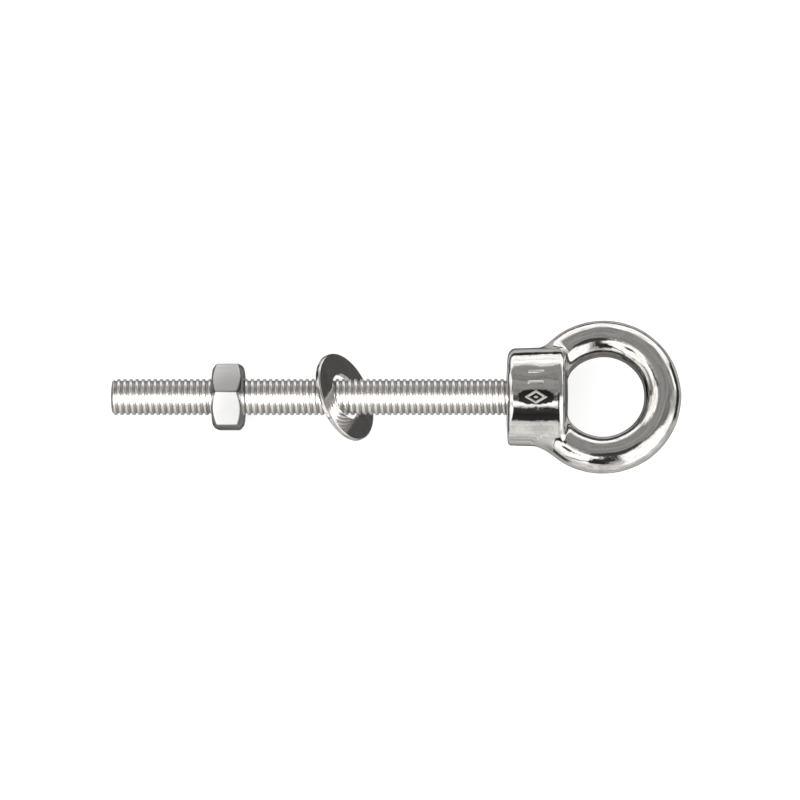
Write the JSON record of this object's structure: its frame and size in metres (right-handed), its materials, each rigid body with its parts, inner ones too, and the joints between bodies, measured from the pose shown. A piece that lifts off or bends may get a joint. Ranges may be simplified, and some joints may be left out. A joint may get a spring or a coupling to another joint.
{
  "type": "eye bolt",
  "caption": "Eye bolt: a polished cast ring and collar on a long threaded stud, with a hexagon nut and a loose flat washer.",
  "frame": {"origin": "centre of the collar's seating face, on the stud's axis", "axes": "+X along the stud's axis towards the eye, so the stud runs to -X; the ring lies in the XY plane; +Z is square to the ring"},
  "size_m": [0.1166, 0.0318, 0.0206],
  "materials": {
    "polished_casting": "mirror-polished stainless steel",
    "rolled_thread": "bright rolled stainless thread, slightly satin",
    "bright_nut": "bright stainless steel, soft reflections",
    "polished_washer": "polished stainless steel"
  },
  "bodies": {
    "bolt": {"eye_head": "polished_casting", "threaded_stud": "rolled_thread"},
    "nut": {"hex_nut": "bright_nut"},
    "washer": {"flat_washer": "polished_washer"}
  },
  "joints": [
    {"name": "nut_travel", "type": "slide", "parent": "bolt", "child": "nut", "axis": [1, 0, 0], "range_m": [-0.02, 0.00875]},
    {"name": "washer_slide", "type": "slide", "parent": "bolt", "child": "washer", "axis": [1, 0, 0], "range_m": [-0.006, 0.027]}
  ]
}
